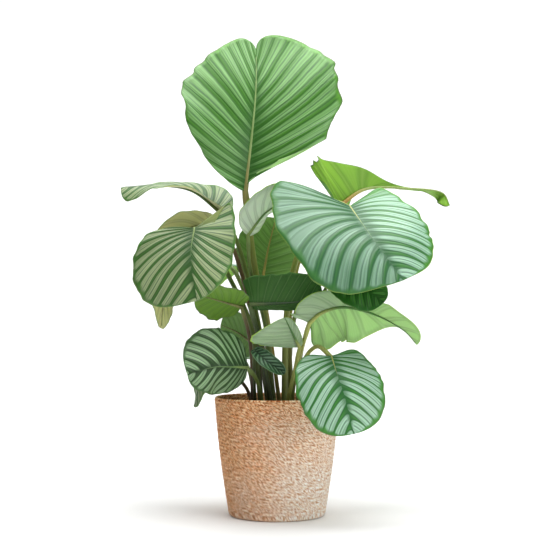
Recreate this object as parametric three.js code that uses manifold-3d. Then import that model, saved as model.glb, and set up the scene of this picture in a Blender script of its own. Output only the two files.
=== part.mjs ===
// A potted calathea in a seagrass basket, in millimetres, +Z up.
// The origin is the middle of the basket's underside, and the side that is seen first faces -Y.
import * as THREE from 'three';
import { mergeVertices } from 'three/addons/utils/BufferGeometryUtils.js';
import Module from 'manifold-3d';

const wasm = await Module();
wasm.setup();

// ---- driving dimensions -------------------------------------------------------------------

const CLEARANCE = 0.3; // air between pieces that touch on the real plant

const BASKET_HEIGHT = 188;
const BASKET_RIM_RADIUS = 100; // outside, over the cord
const BASKET_FOOT_RADIUS = 78; // outside, where the side leaves the rounded lower edge
const BASKET_BELLY = 2.5; // how far the side swells out half way up
const BASKET_WALL = 6;
const BASKET_CORNER = 9; // height of the rounded lower edge
const CORNER_INSET = 0.6; // how far it draws the floor in, as a share of its height
const CORNER_STEP = 0.3; // the corner has one more ring, at this share of it
const RIM_ROUNDING = 2; // how far the rim falls to the inside, and half as far to the outside
const CORD_ROWS = 12; // sewn rows on the side, drawn three times as coarse as the real cord
const CORD_RELIEF = 1.2; // how deep the groove between two rows is
const BASKET_SIDES = 30;

const POT_HEIGHT = 166; // from its own underside to its rim
const POT_WALL = 1.6;
const POT_LIP = 3; // how far the lip stands out from the side
const POT_LIP_HEIGHT = 10;
const POT_ROOM = 1.5; // between the pot's lip and the basket
const LIP_SLOPE = 1; // height of the slope under the lip
const POT_SIDES = 48;
const DRAIN_COUNT = 5;
const DRAIN_RADIUS = 4;
const DRAIN_CIRCLE = 38;
const OVERCUT = 1; // how far a cutting tool reaches past what it cuts

const SOIL_TOP = 160;
const SOIL_MOUND = 3; // how much the soil rises towards the stalks
const MOUND_PROFILE = [[1, 0], [0.7, 0.7], [0.45, 1]]; // shares of its radius and of that rise
const SOIL_ROOM = 0.7; // between the soil and the pot's side
const HOLE_DEPTH = 30; // how far a stalk goes into the soil
const HOLE_SIDES = 8;

const BLADE_THICKNESS = 0.8;
const SLIVER = 0.05; // where blade and stalk join, facets thinner than this join their neighbours
const STALK_SIDES = 5;
const STALK_FOOT = 1.25; // a stalk's radius in the soil, as a share of its radius higher up
const STALK_TAPER = 0.5; // the share of its way on which it thins to that
const STALK_STEPS = 2; // rings on the way from one of its points to the next
const MIDRIB_END = 0.3; // the midrib's radius near the tip, as a share of the stalk's
const MIDRIB_SINK = 0.6; // how far its middle lies under the blade, as a share of its radius
const SAME_POINT = 1e-4; // corners nearer than this are one
const NEARLY_FLAT = 1e-6; // the bend of a blade that doesn't curl
const RIPPLES = 3; // ripples along one side of a blade
const RIPPLE_SHIFT = 0.37; // the right half's ripples are this share of a turn ahead
const MIDRIB_FIRST_ROW = 3; // the midrib has a ring at its start and at each row from this one on
const VEIN_CROWDING = 2.4; // how strongly the side veins start near the base, unless a leaf has its own crowd
const VEIN_BEND = { out: 0.5, on: 0.3 }; // where a side vein bends, as shares of its way out and on
const OUTLINE_PUSH = 2.2; // turns a lobe or a shoulder into a push of the outline along the midrib

// ---- the leaves ---------------------------------------------------------------------------
// root: where the stalk enters the soil, x and y
// stalk: points that the stalk passes on its way to the blade
// rib: points along the midrib, from the blade's base to its tip
// face: the way the upper side looks, at the base and at the tip
// thick: the stalk's radius
// left and right: the two halves of the blade, seen from its upper side with the tip away
//   width: from the midrib to the margin
//   fold: degrees that the half is raised (+) or hangs (-), from base to tip
//   curl: degrees more that it has turned by its margin
//   lobe: how strongly the half reaches back past the stalk
//   shoulder: how strongly it reaches on towards the tip and past it
//   skew: under 1 the half is widest beyond the middle, over 1 nearer the base
//   round: the roundness of the outline at base and tip, smaller is rounder
// wave: the height of the ripples at the margin
// crowd: how strongly the side veins start near the base, where a leaf differs from the others
// A list in place of one number gives its values from base to tip.

const LEAVES = {
  leaf_top: {
    root: [-10, 6], stalk: [[-16, 4, 294], [-37, -2, 403]], thick: 5,
    rib: [[-51, -10, 516], [-41, -16, 598], [-34, -6, 679], [-34, 20, 758]],
    face: [[0, -1, 0.1], [0, -1, 0.4]],
    left: {
      width: 119, fold: [35, 10], curl: -10,
      lobe: 0, shoulder: 0.14, skew: 0.88, round: [1.2, 1.3, 2.4, 1.3],
    },
    right: {
      width: 136, fold: [25, 5], curl: [-20, -15],
      lobe: 0, shoulder: 0.18, skew: 0.74, round: [6, 1, 1.4, 1.8],
    },
    wave: 5,
  },
  leaf_upper_left: {
    root: [-12, 22], stalk: [[-28, 24, 294], [-60, 24, 423]], thick: 3.6,
    rib: [[-86, 14, 483], [-138, 18, 521], [-198, 22, 529], [-254, 25, 525]],
    face: [[0, -0.1, 1], [0, -0.15, 1]],
    left: { width: 60, fold: [20, 5, 0, -50], curl: 0 },
    right: { width: 65, fold: [35, 12, 0, 0], curl: 0 },
    wave: 3,
  },
  leaf_upper_right: {
    root: [24, 14], stalk: [[20, 20, 310], [42, 40, 424]], thick: 4, crowd: 4,
    rib: [[99, 60, 498], [149, 80, 530], [223, 90, 531], [276, 94, 525], [290, 88, 502]],
    face: [[0, 0.6, 0.8], [0, 0.9, 0.5]],
    left: { width: 34, fold: [0, 40, 55, 55, 0], curl: 0, lobe: 0.05 },
    right: { width: 92, fold: [25, 45, 45], curl: 10, lobe: 0.12, skew: 5.5, round: [0.3, 0.6, 10] },
    wave: 4,
  },
  leaf_left: {
    root: [-24, -8], stalk: [[-40, 2, 294], [-78, -4, 382], [-109, -38, 443]], thick: 3.6, crowd: 2.4,
    rib: [[-128, -70, 453], [-132, -86, 420], [-130, -98, 384], [-121, -105, 340]],
    face: [[0.1, -1, 0.6], [0, -1, 0.2]],
    left: { width: 67, lobe: [0.8, 0.8, 0.4], skew: 1.2, round: [0.3, 0.9, 1.5] },
    right: { width: 92, lobe: 0, shoulder: 0.05, skew: 0.95, round: [0.7, 0.6] },
    wave: 3,
  },
  leaf_behind_left: {
    root: [-24, 8], stalk: [[-36, 14, 294], [-66, 12, 414]], thick: 3.4,
    rib: [[-95, 2, 468], [-150, 20, 452], [-180, 24, 375], [-187, 8, 297]],
    face: [[-0.5, 0.6, 0.7], [-0.8, 0.3, 0.2]],
    left: { width: 60, curl: 0, lobe: 0.05, round: [0.7, 0.8, 1.8, 0.7] },
    right: { width: 60, curl: 0, lobe: 0.05, round: [0.7, 0.8, 1.8, 0.7] },
    wave: 3,
  },
  leaf_right: {
    root: [12, 2], stalk: [[16, 2, 326], [37, 0, 423], [84, -20, 493]], thick: 4.5,
    rib: [[115, -40, 490], [150, -110, 428], [188, -142, 370]],
    face: [[0.6, -0.6, 0.9], [0.3, -1, 0.5]],
    left: { width: 99, fold: [45, 35, 10], curl: -40, lobe: 0.3, round: [0.5, 0.65] },
    right: { width: 140, curl: -30, lobe: [0.4, 1, 0.3], round: [0.65, 1.1] },
    wave: 3,
  },
  leaf_small_folded: {
    root: [-2, -8], stalk: [[-18, -8, 294], [-42, -20, 389]], thick: 2.8,
    rib: [[-47, -30, 445], [-14, -30, 484], [37, -25, 509]],
    face: [[0, 0.5, 0.8], [0, 0.5, 0.8]],
    left: { width: 36, fold: 30, curl: 0, lobe: 0.02 },
    right: { width: 36, fold: 30, curl: 0, lobe: 0.02 },
    wave: 2,
  },
  leaf_middle_back: {
    root: [6, 24], stalk: [[-12, 50, 293]], thick: 3,
    rib: [[-25, 60, 368], [-15, 70, 426], [-2, 80, 480]],
    face: [[0.1, 1, 0.2], [0, 1, 0.5]],
    left: { width: 55, fold: 10, curl: 10, lobe: 0.02 },
    right: { width: 55, fold: 10, curl: 10, lobe: 0.02 },
    wave: 2,
  },
  leaf_across: {
    root: [-6, -22], stalk: [[-26, -28, 271]], thick: 3.4,
    rib: [[-43, -34, 336], [20, -52, 338], [72, -60, 345]],
    face: [[0, 0.85, 0.45], [0, 0.85, 0.45]],
    left: { width: 13, lobe: 0.1 },
    right: { width: 46, fold: 20, curl: 10, lobe: 0.2, round: [0.2, 0.5] },
    wave: 2,
  },
  leaf_under_right: {
    root: [32, -10], stalk: [[40, 0, 263], [72, -20, 350]], thick: 2.8,
    rib: [[97, -92, 388], [126, -130, 363], [159, -142, 337]],
    face: [[0, -0.6, 0.8], [0, -1, 0.5]],
    left: { width: 36 },
    right: { width: 40 },
    wave: 2,
  },
  leaf_low_right: {
    root: [20, -18], stalk: [[30, -30, 231]], thick: 3.4,
    rib: [
      [50, -62, 306], [70, -74, 323], [104, -88, 331], [151, -97, 319], [192, -102, 296], [213, -100, 273],
    ],
    face: [[0, 0.9, 0.4], [0, 0.6, 0.8]],
    left: { width: 59, lobe: 0.2, skew: 1.6, round: [0.6, 1, 0.5, 0.9, 8, 16] },
    right: { width: 43, fold: [-20, -10], curl: 10, lobe: 0.05, skew: 2.6, round: [0.5, 0.5, 6, 0.6, 0.8] },
    wave: 3,
  },
  leaf_pale: {
    root: [10, -34], stalk: [[26, -48, 224]], thick: 3,
    rib: [[35, -56, 268], [23, -63, 292], [12, -69, 314]],
    face: [[-0.2, 0.8, 0.4], [-0.2, 0.8, 0.4]],
    left: { width: 12, curl: 10, lobe: 0.02 },
    right: { width: 64, lobe: 0, shoulder: 0.08, skew: 0.2, round: [0.35, 0.4, 1.5] },
    wave: 3,
  },
  leaf_young: {
    root: [-34, -20], stalk: [[-36, -42, 224]], thick: 2.4,
    rib: [[-36, -66, 265], [-16, -86, 248], [12, -90, 229]],
    face: [[0.3, -1, 0.3], [0.3, -1, 0.3]],
    left: { width: 14, fold: 20, curl: 0, lobe: 0.02 },
    right: { width: 14, fold: 20, curl: 0, lobe: 0.02 },
    wave: 1,
  },
  leaf_front_right: {
    root: [32, -28], stalk: [[40, -44, 239], [60, -90, 270]], thick: 3.2,
    rib: [[82, -120, 257], [90, -147, 228], [100, -162, 197], [112, -165, 144]],
    face: [[0.1, -1, 0.6], [0.1, -1, 0.1]],
    left: { width: 66, lobe: 0.2, round: [0.6, 0.75] },
    right: { width: 66, lobe: 0.2, round: [0.6, 0.75] },
    wave: 2,
  },
  leaf_front_left: {
    root: [-20, -32], stalk: [[-30, -46, 212]], thick: 3,
    rib: [[-45, -66, 238], [-69, -90, 240], [-97, -108, 240], [-135, -120, 229]],
    face: [[0, -1, 0.35], [-0.1, -1, 0.35]],
    left: { width: 50, fold: -45, curl: -10, lobe: 0.1 },
    right: { width: 66, curl: -10, lobe: 0.15, round: [0.5, 0.85] },
    wave: 2,
  },
  leaf_left_back: {
    root: [-26, 24], stalk: [[-28, 30, 229]], thick: 2.8,
    rib: [[-36, 34, 269], [-63, 50, 289], [-93, 60, 302]],
    face: [[0.3, 0.8, 0.5], [0.3, 0.8, 0.5]],
    left: { width: 40, curl: 0 },
    right: { width: 40, curl: 0 },
    wave: 2,
  },
  leaf_olive: {
    root: [-38, -4], stalk: [[-42, -22, 270]], thick: 2.8,
    rib: [[-56, -24, 332], [-90, -42, 341], [-126, -52, 351]],
    face: [[0, 0.6, 0.8], [0, 0.7, 0.8]],
    left: { width: 46 },
    right: { width: 42 },
    wave: 2,
  },
  leaf_tip_left: {
    root: [-38, 12], stalk: [[-48, 14, 198]], thick: 2.8,
    rib: [[-73, 20, 226], [-115, 0, 227], [-131, -5, 171]],
    face: [[-0.3, -0.6, 0.8], [-0.8, -0.3, 0.3]],
    left: { width: 24 },
    right: { width: 24 },
    wave: 2,
  },
  leaf_back_high: {
    root: [18, 34], stalk: [[26, 50, 300], [60, 75, 400]], thick: 3.6,
    rib: [[80, 90, 430], [115, 150, 430], [150, 210, 390]],
    face: [[0, 0.3, 1], [0, 0.6, 1]],
    left: { width: 60 },
    right: { width: 60 },
    wave: 3,
  },
  leaf_back_left: {
    root: [-12, 38], stalk: [[-36, 54, 300], [-64, 70, 380]], thick: 3.4,
    rib: [[-76, 80, 400], [-110, 135, 405], [-150, 190, 365]],
    face: [[-0.2, 0.3, 1], [-0.4, 0.6, 1]],
    left: { width: 58 },
    right: { width: 58 },
    wave: 3,
  },
  leaf_back_low_left: {
    root: [-34, 40], stalk: [[-44, 52, 220]], thick: 3,
    rib: [[-55, 78, 245], [-85, 122, 255], [-115, 165, 230]],
    face: [[-0.3, 0.4, 1], [-0.4, 0.8, 0.8]],
    left: { width: 48 },
    right: { width: 48 },
    wave: 3,
  },
  leaf_back_low_right: {
    root: [36, 28], stalk: [[46, 42, 215]], thick: 3,
    rib: [[60, 65, 235], [95, 110, 245], [125, 155, 215]],
    face: [[0.3, 0.4, 1], [0.4, 0.8, 0.8]],
    left: { width: 50 },
    right: { width: 50 },
    wave: 3,
  },
};

const HALF_DEFAULTS = { fold: 0, curl: -20, lobe: 0.08, shoulder: 0, skew: 1, round: [0.75, 0.85] };

// rows along a blade, and columns from its midrib to one margin
const LARGE_GRID = { rows: 11, columns: 4 };
const SMALL_GRID = { rows: 8, columns: 3 };
const LARGE_LEAF = 70; // a blade with a half wider than this gets the large grid

// ---- helpers ------------------------------------------------------------------------------

const radians = THREE.MathUtils.degToRad;

/** A value between evenly spaced stops, at a share q of the way along them. */
function between(stops, q) {
  if (!Array.isArray(stops)) return stops;
  const place = THREE.MathUtils.clamp(q, 0, 1) * (stops.length - 1);
  const index = Math.min(Math.floor(place), stops.length - 2);
  return THREE.MathUtils.lerp(stops[index], stops[index + 1], place - index);
}

/** A closed three.js geometry as a solid that can be joined and cut. */
function solidOf(geometry) {
  const bare = geometry.index ? geometry.toNonIndexed() : geometry.clone();
  bare.deleteAttribute('normal');
  bare.deleteAttribute('uv');
  const merged = mergeVertices(bare, SAME_POINT);
  const triVerts = new Uint32Array(merged.index.array);
  const vertProperties = new Float32Array(merged.attributes.position.array);
  return new wasm.Manifold(new wasm.Mesh({ numProp: 3, vertProperties, triVerts }));
}

/** A solid back as a three.js geometry. */
function geometryOf(solid) {
  const mesh = solid.getMesh();
  const geometry = new THREE.BufferGeometry();
  geometry.setAttribute('position', new THREE.BufferAttribute(new Float32Array(mesh.vertProperties), 3));
  geometry.setIndex(new THREE.BufferAttribute(new Uint32Array(mesh.triVerts), 1));
  geometry.computeVertexNormals();
  return geometry;
}

/** A profile of [radius, height] points turned round the Z axis. */
function turned(profile, sides) {
  const points = profile.map(([radius, height]) => new THREE.Vector2(radius, height));
  return new THREE.LatheGeometry(points, sides).rotateX(Math.PI / 2);
}

/** An upright cylinder from z = bottom to z = top. */
function upright(x, y, bottom, top, radius, sides) {
  const cylinder = new THREE.CylinderGeometry(radius, radius, top - bottom, sides);
  return cylinder.rotateX(Math.PI / 2).translate(x, y, (bottom + top) / 2);
}

const group = new THREE.Group();

function add(name, geometry, color, roughness) {
  const material = new THREE.MeshStandardMaterial({ color, roughness, metalness: 0 });
  const mesh = new THREE.Mesh(geometry, material);
  mesh.name = name;
  group.add(mesh);
}

// ---- basket -------------------------------------------------------------------------------

/** Outer radius of the basket's side at a height, without the cord's relief. */
function basketRadius(height) {
  const share = THREE.MathUtils.clamp((height - BASKET_CORNER) / (BASKET_HEIGHT - BASKET_CORNER), 0, 1);
  const straight = THREE.MathUtils.lerp(BASKET_FOOT_RADIUS, BASKET_RIM_RADIUS, share);
  return straight + BASKET_BELLY * Math.sin(Math.PI * share);
}

/** Inner radius of the basket's side at a height. */
function basketBore(height) {
  return basketRadius(height) - BASKET_WALL;
}

function basket() {
  const inset = BASKET_CORNER * CORNER_INSET;
  const profile = [[0, 0], [BASKET_FOOT_RADIUS - inset, 0]];
  profile.push([BASKET_FOOT_RADIUS - inset * CORNER_STEP, BASKET_CORNER * CORNER_STEP]);
  const rowHeight = (BASKET_HEIGHT - BASKET_CORNER) / CORD_ROWS;
  for (let row = 0; row < CORD_ROWS; row += 1) {
    const groove = BASKET_CORNER + row * rowHeight;
    const crest = groove + rowHeight / 2;
    profile.push([basketRadius(groove) - CORD_RELIEF, groove]);
    profile.push([basketRadius(crest), crest]);
  }
  profile.push([BASKET_RIM_RADIUS - CORD_RELIEF, BASKET_HEIGHT - RIM_ROUNDING / 2]);
  profile.push([BASKET_RIM_RADIUS - BASKET_WALL / 2, BASKET_HEIGHT]);
  profile.push([basketBore(BASKET_HEIGHT), BASKET_HEIGHT - RIM_ROUNDING]);
  for (const share of [2 / 3, 1 / 3, 0]) {
    const height = THREE.MathUtils.lerp(BASKET_WALL + BASKET_CORNER, BASKET_HEIGHT, share);
    profile.push([basketBore(height), height]);
  }
  profile.push([basketBore(BASKET_CORNER) - inset, BASKET_WALL]);
  profile.push([0, BASKET_WALL]);
  return turned(profile, BASKET_SIDES);
}

// ---- inner pot and soil -------------------------------------------------------------------

const POT_BOTTOM = BASKET_WALL + CLEARANCE;
const POT_TOP = POT_BOTTOM + POT_HEIGHT;
const POT_LIP_RADIUS = basketBore(POT_TOP) - POT_ROOM;
const POT_RIM_RADIUS = POT_LIP_RADIUS - POT_LIP;
const POT_FOOT_RADIUS = BASKET_FOOT_RADIUS - BASKET_WALL - BASKET_CORNER;

/** Outer radius of the inner pot's side at a height. */
function potRadius(height) {
  const share = (height - POT_BOTTOM) / (POT_TOP - POT_LIP_HEIGHT - POT_BOTTOM);
  return THREE.MathUtils.lerp(POT_FOOT_RADIUS, POT_RIM_RADIUS, THREE.MathUtils.clamp(share, 0, 1));
}

function innerPot() {
  const lipBottom = POT_TOP - POT_LIP_HEIGHT;
  const floorTop = POT_BOTTOM + POT_WALL;
  const shell = turned([
    [0, POT_BOTTOM], [POT_FOOT_RADIUS, POT_BOTTOM], [POT_RIM_RADIUS, lipBottom],
    [POT_LIP_RADIUS, lipBottom + LIP_SLOPE], [POT_LIP_RADIUS, POT_TOP],
    [POT_LIP_RADIUS - POT_WALL, POT_TOP], [POT_LIP_RADIUS - POT_WALL, lipBottom + POT_WALL + LIP_SLOPE],
    [POT_RIM_RADIUS - POT_WALL, lipBottom + POT_WALL],
    [potRadius(floorTop) - POT_WALL, floorTop], [0, floorTop],
  ], POT_SIDES);
  let pot = solidOf(shell);
  for (let index = 0; index < DRAIN_COUNT; index += 1) {
    const angle = (index / DRAIN_COUNT) * 2 * Math.PI;
    const x = DRAIN_CIRCLE * Math.cos(angle);
    const y = DRAIN_CIRCLE * Math.sin(angle);
    const drain = upright(x, y, POT_BOTTOM - OVERCUT, floorTop + OVERCUT, DRAIN_RADIUS, HOLE_SIDES);
    pot = pot.subtract(solidOf(drain));
  }
  return geometryOf(pot);
}

/** The soil fills the pot up to SOIL_TOP, and has a plain hole for each stalk. */
function soil() {
  const bottom = POT_BOTTOM + POT_WALL + CLEARANCE;
  const inside = (height) => potRadius(height) - POT_WALL - SOIL_ROOM;
  const edge = SOIL_TOP - SOIL_MOUND;
  const mound = MOUND_PROFILE.map(([out, up]) => [inside(edge) * out, edge + SOIL_MOUND * up]);
  const profile = [[0, bottom], [inside(bottom), bottom], ...mound, [0, SOIL_TOP]];
  let ground = solidOf(turned(profile, POT_SIDES));
  for (const leaf of Object.values(LEAVES)) {
    const wall = leaf.thick * STALK_FOOT + CLEARANCE;
    const radius = wall / Math.cos(Math.PI / HOLE_SIDES);
    const [x, y] = leaf.root;
    const hole = upright(x, y, SOIL_TOP - HOLE_DEPTH, SOIL_TOP + SOIL_MOUND, radius, HOLE_SIDES);
    ground = ground.subtract(solidOf(hole));
  }
  return geometryOf(ground);
}

// ---- leaves -------------------------------------------------------------------------------

/** A smooth curve through a list of points. */
function curveThrough(points) {
  const vectors = points.map((point) => new THREE.Vector3(...point));
  return new THREE.CatmullRomCurve3(vectors, false, 'catmullrom');
}

/** The midrib's place at a distance along it, and the ways along it, across it and out of its upper side. */
function ribFrame(leaf, curve, length, distance) {
  const share = THREE.MathUtils.clamp(distance / length, 0, 1);
  const along = curve.getTangentAt(share);
  const origin = curve.getPointAt(share).addScaledVector(along, distance - share * length);
  const [base, tip] = leaf.face.map((way) => new THREE.Vector3(...way));
  const out = base.lerp(tip, share);
  out.addScaledVector(along, -out.dot(along)).normalize();
  const across = new THREE.Vector3().crossVectors(along, out);
  return { origin, along, across, out };
}

/**
 * A point of the blade. a runs round the outline from base (0) to tip (1), v from midrib (0) to margin (1).
 * The line of one a is a side vein: it leaves the midrib at startY and bends towards its end on the outline.
 * The flat point (x, y) is then folded up and curled about the midrib, and rippled near the margin.
 */
function bladePoint(leaf, curve, length, side, a, v) {
  const half = { ...HALF_DEFAULTS, ...(side < 0 ? leaf.left : leaf.right) };
  const bulge = Math.sin(Math.PI * a);
  const marginX = half.width * bulge ** between(half.round, a);
  const push = OUTLINE_PUSH * bulge * (half.shoulder * a ** 3 - between(half.lobe, a) * (1 - a) ** 3);
  const marginY = length * (((1 - Math.cos(Math.PI * a)) / 2) ** half.skew + push);
  const startY = length * a ** (leaf.crowd ?? VEIN_CROWDING);
  const bendX = marginX * VEIN_BEND.out;
  const bendY = THREE.MathUtils.lerp(startY, marginY, VEIN_BEND.on);
  const x = 2 * (1 - v) * v * bendX + v * v * marginX;
  const y = (1 - v) ** 2 * startY + 2 * (1 - v) * v * bendY + v * v * marginY;
  const share = THREE.MathUtils.clamp(y / length, 0, 1);
  const fold = radians(between(half.fold, share));
  const bend = radians(between(half.curl, share)) / half.width || NEARLY_FLAT;
  const outward = (Math.sin(fold + bend * x) - Math.sin(fold)) / bend;
  const turns = RIPPLES * a + (side < 0 ? 0 : RIPPLE_SHIFT);
  const ripple = leaf.wave * v * v * bulge * Math.sin(2 * Math.PI * turns);
  const raised = (Math.cos(fold) - Math.cos(fold + bend * x)) / bend + ripple;
  const { origin, across, out } = ribFrame(leaf, curve, length, y);
  return origin.addScaledVector(across, side * outward).addScaledVector(out, raised);
}

function gridOf(leaf) {
  return Math.max(leaf.left.width, leaf.right.width) > LARGE_LEAF ? LARGE_GRID : SMALL_GRID;
}

/** A thin closed blade: a grid of rows from base to tip, given its thickness along the grid's normals. */
function blade(leaf, curve, length) {
  const { rows, columns } = gridOf(leaf);
  const across = 2 * columns + 1;
  const points = [bladePoint(leaf, curve, length, 1, 0, 0)];
  for (let row = 1; row < rows; row += 1) {
    for (let column = -columns; column <= columns; column += 1) {
      const side = column < 0 ? -1 : 1;
      points.push(bladePoint(leaf, curve, length, side, row / rows, Math.abs(column) / columns));
    }
  }
  points.push(bladePoint(leaf, curve, length, 1, 1, 0));
  const tip = points.length - 1;
  const at = (row, column) => 1 + (row - 1) * across + column;
  const faces = [];
  for (let column = 0; column < across - 1; column += 1) {
    faces.push([0, at(1, column + 1), at(1, column)]);
    faces.push([tip, at(rows - 1, column), at(rows - 1, column + 1)]);
    for (let row = 1; row < rows - 1; row += 1) {
      faces.push([at(row, column), at(row, column + 1), at(row + 1, column + 1)]);
      faces.push([at(row, column), at(row + 1, column + 1), at(row + 1, column)]);
    }
  }
  const rim = [0];
  for (let row = 1; row < rows; row += 1) rim.push(at(row, 0));
  rim.push(tip);
  for (let row = rows - 1; row > 0; row -= 1) rim.push(at(row, across - 1));
  const sheet = new THREE.BufferGeometry().setFromPoints(points);
  sheet.setIndex(faces.flat());
  sheet.computeVertexNormals();
  const normal = sheet.attributes.normal;
  const shifted = (index, way) => {
    const direction = new THREE.Vector3().fromBufferAttribute(normal, index);
    return points[index].clone().addScaledVector(direction, (way * BLADE_THICKNESS) / 2);
  };
  const upper = points.map((_, index) => shifted(index, 1));
  const lower = points.map((_, index) => shifted(index, -1));
  const under = points.length;
  const triangles = faces.flatMap(([p, q, r]) => [p, q, r, under + p, under + r, under + q]);
  rim.forEach((p, index) => {
    const q = rim[(index + 1) % rim.length];
    triangles.push(p, q, under + q, p, under + q, under + p);
  });
  const geometry = new THREE.BufferGeometry().setFromPoints([...upper, ...lower]);
  geometry.setIndex(triangles);
  return solidOf(geometry);
}

/** A closed tube of changing radius through a list of { place, radius } rings. */
function tube(rings, sides) {
  const points = [];
  let across = new THREE.Vector3(1, 0, 0);
  rings.forEach(({ place, radius }, index) => {
    const before = rings[Math.max(index - 1, 0)].place;
    const after = rings[Math.min(index + 1, rings.length - 1)].place;
    const along = index === 1 ? new THREE.Vector3(0, 0, 1) : after.clone().sub(before).normalize();
    across = across.clone().addScaledVector(along, -across.dot(along)).normalize();
    const other = new THREE.Vector3().crossVectors(along, across);
    for (let step = 0; step < sides; step += 1) {
      const angle = (step / sides) * 2 * Math.PI;
      points.push(place.clone().addScaledVector(across, radius * Math.cos(angle))
        .addScaledVector(other, radius * Math.sin(angle)));
    }
  });
  const last = (rings.length - 1) * sides;
  const triangles = [];
  for (let step = 0; step < sides; step += 1) {
    const next = (step + 1) % sides;
    for (let ring = 0; ring < last; ring += sides) {
      triangles.push(ring + step, ring + next, ring + sides + next);
      triangles.push(ring + step, ring + sides + next, ring + sides + step);
    }
    if (step > 0 && next > 0) {
      triangles.push(0, next, step);
      triangles.push(last, last + step, last + next);
    }
  }
  const geometry = new THREE.BufferGeometry().setFromPoints(points);
  geometry.setIndex(triangles);
  return solidOf(geometry);
}

/** The stalk, from the bottom of its hole to the blade, running on as the midrib under the blade. */
function stalk(leaf, curve, length) {
  const [x, y] = leaf.root;
  const route = curveThrough([[x, y, SOIL_TOP], ...leaf.stalk, leaf.rib[0]]);
  const foot = leaf.thick * STALK_FOOT;
  const rings = [{ place: new THREE.Vector3(x, y, SOIL_TOP - HOLE_DEPTH + CLEARANCE), radius: foot }];
  const steps = STALK_STEPS * (leaf.stalk.length + 1);
  for (let step = 0; step < steps; step += 1) {
    const share = step / steps;
    const radius = THREE.MathUtils.lerp(foot, leaf.thick, Math.min(share / STALK_TAPER, 1));
    rings.push({ place: route.getPointAt(share), radius });
  }
  const { rows } = gridOf(leaf);
  for (let row = 0; row < rows; row = Math.max(row + 1, MIDRIB_FIRST_ROW)) {
    const share = (row / rows) ** (leaf.crowd ?? VEIN_CROWDING);
    const { origin, out } = ribFrame(leaf, curve, length, share * length);
    const radius = leaf.thick * THREE.MathUtils.lerp(1, MIDRIB_END, Math.sqrt(share));
    rings.push({ place: origin.addScaledVector(out, -radius * MIDRIB_SINK), radius });
  }
  return tube(rings, STALK_SIDES);
}

function leafSolid(leaf) {
  const curve = curveThrough(leaf.rib);
  const length = curve.getLength();
  const joined = blade(leaf, curve, length).add(stalk(leaf, curve, length));
  return geometryOf(joined.asOriginal().simplify(SLIVER));
}

// ---- the plant ----------------------------------------------------------------------------

add('basket', basket(), 0xd2a47c, 0.9);
add('inner_pot', innerPot(), 0x2b2b2b, 0.6);
add('soil', soil(), 0x2e221a, 0.95);
for (const [name, leaf] of Object.entries(LEAVES)) add(name, leafSolid(leaf), 0x5c9a54, 0.45);

export default group;
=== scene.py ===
# %% [markdown]
# # A potted calathea in a seagrass basket
#
# The real object is a prayer plant with big round striped leaves, about 78 cm tall. It grows in a
# plain black nursery pot full of compost. The pot stands inside a tapered basket, sewn from
# twisted seagrass cord, which is what people see.
#
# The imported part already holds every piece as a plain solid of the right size. This lesson makes
# what the eye sees of them: leaves with pleats, bands and veins, cord on the basket, and crumbs on
# the soil. Shapes are worked out in millimetres and put into Blender in metres.

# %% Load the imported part
import math

import bpy
import numpy as np
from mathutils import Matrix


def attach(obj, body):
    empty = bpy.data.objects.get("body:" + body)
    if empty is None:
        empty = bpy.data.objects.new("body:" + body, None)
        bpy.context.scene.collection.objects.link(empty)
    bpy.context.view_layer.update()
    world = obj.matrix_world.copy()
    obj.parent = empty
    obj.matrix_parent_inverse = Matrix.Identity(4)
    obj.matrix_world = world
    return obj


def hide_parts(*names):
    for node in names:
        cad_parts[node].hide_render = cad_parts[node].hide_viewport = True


MM = 0.001  # one millimetre in Blender's metres

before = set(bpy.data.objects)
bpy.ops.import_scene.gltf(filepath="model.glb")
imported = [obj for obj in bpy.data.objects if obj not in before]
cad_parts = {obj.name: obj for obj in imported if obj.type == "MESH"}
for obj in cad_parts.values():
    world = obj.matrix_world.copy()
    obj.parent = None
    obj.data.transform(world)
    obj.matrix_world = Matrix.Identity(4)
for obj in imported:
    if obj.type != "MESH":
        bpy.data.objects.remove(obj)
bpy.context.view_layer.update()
print("solids in the part:", len(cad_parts))

# %% [markdown]
# ## The camera
#
# The camera stands where the outline of the plant fits the picture: two metres away, higher than
# the basket but below the middle of the plant, and looking very slightly up. How far away the real
# one stood isn't known. A long lens keeps the tall plant from leaning. The focal length was found
# in pixels, so it is turned into millimetres on a 36 mm sensor.

# %% Camera
PICTURE_SIDE = 554
FOCAL_PIXELS = 1247
SENSOR = 36
CAMERA_PLACE = (0, -2.0, 0.323)  # metres
CAMERA_TILT = 1.608  # degrees above level

camera_data = bpy.data.cameras.new("camera")
camera_data.sensor_width = SENSOR
camera_data.lens = SENSOR * FOCAL_PIXELS / PICTURE_SIDE
camera = bpy.data.objects.new("camera", camera_data)
camera.location = CAMERA_PLACE
camera.rotation_euler = (math.radians(90 + CAMERA_TILT), 0, 0)
bpy.context.scene.collection.objects.link(camera)
bpy.context.scene.camera = camera
print("lens:", round(camera_data.lens, 1), "mm")

# %% [markdown]
# ## Shaders that read like sums
#
# A pattern is easier to follow as a line of arithmetic than as a web of nodes. Socket wraps one
# output of a node, so that a * b + 1 adds the two Math nodes it needs. Finish is a material that
# is being made: its method node adds any other node.

# %% Sockets and finishes
def math_node(operation):
    """A method that adds one Math node to a Socket."""
    return lambda self, *values: self.math(operation, self, *values)


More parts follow.
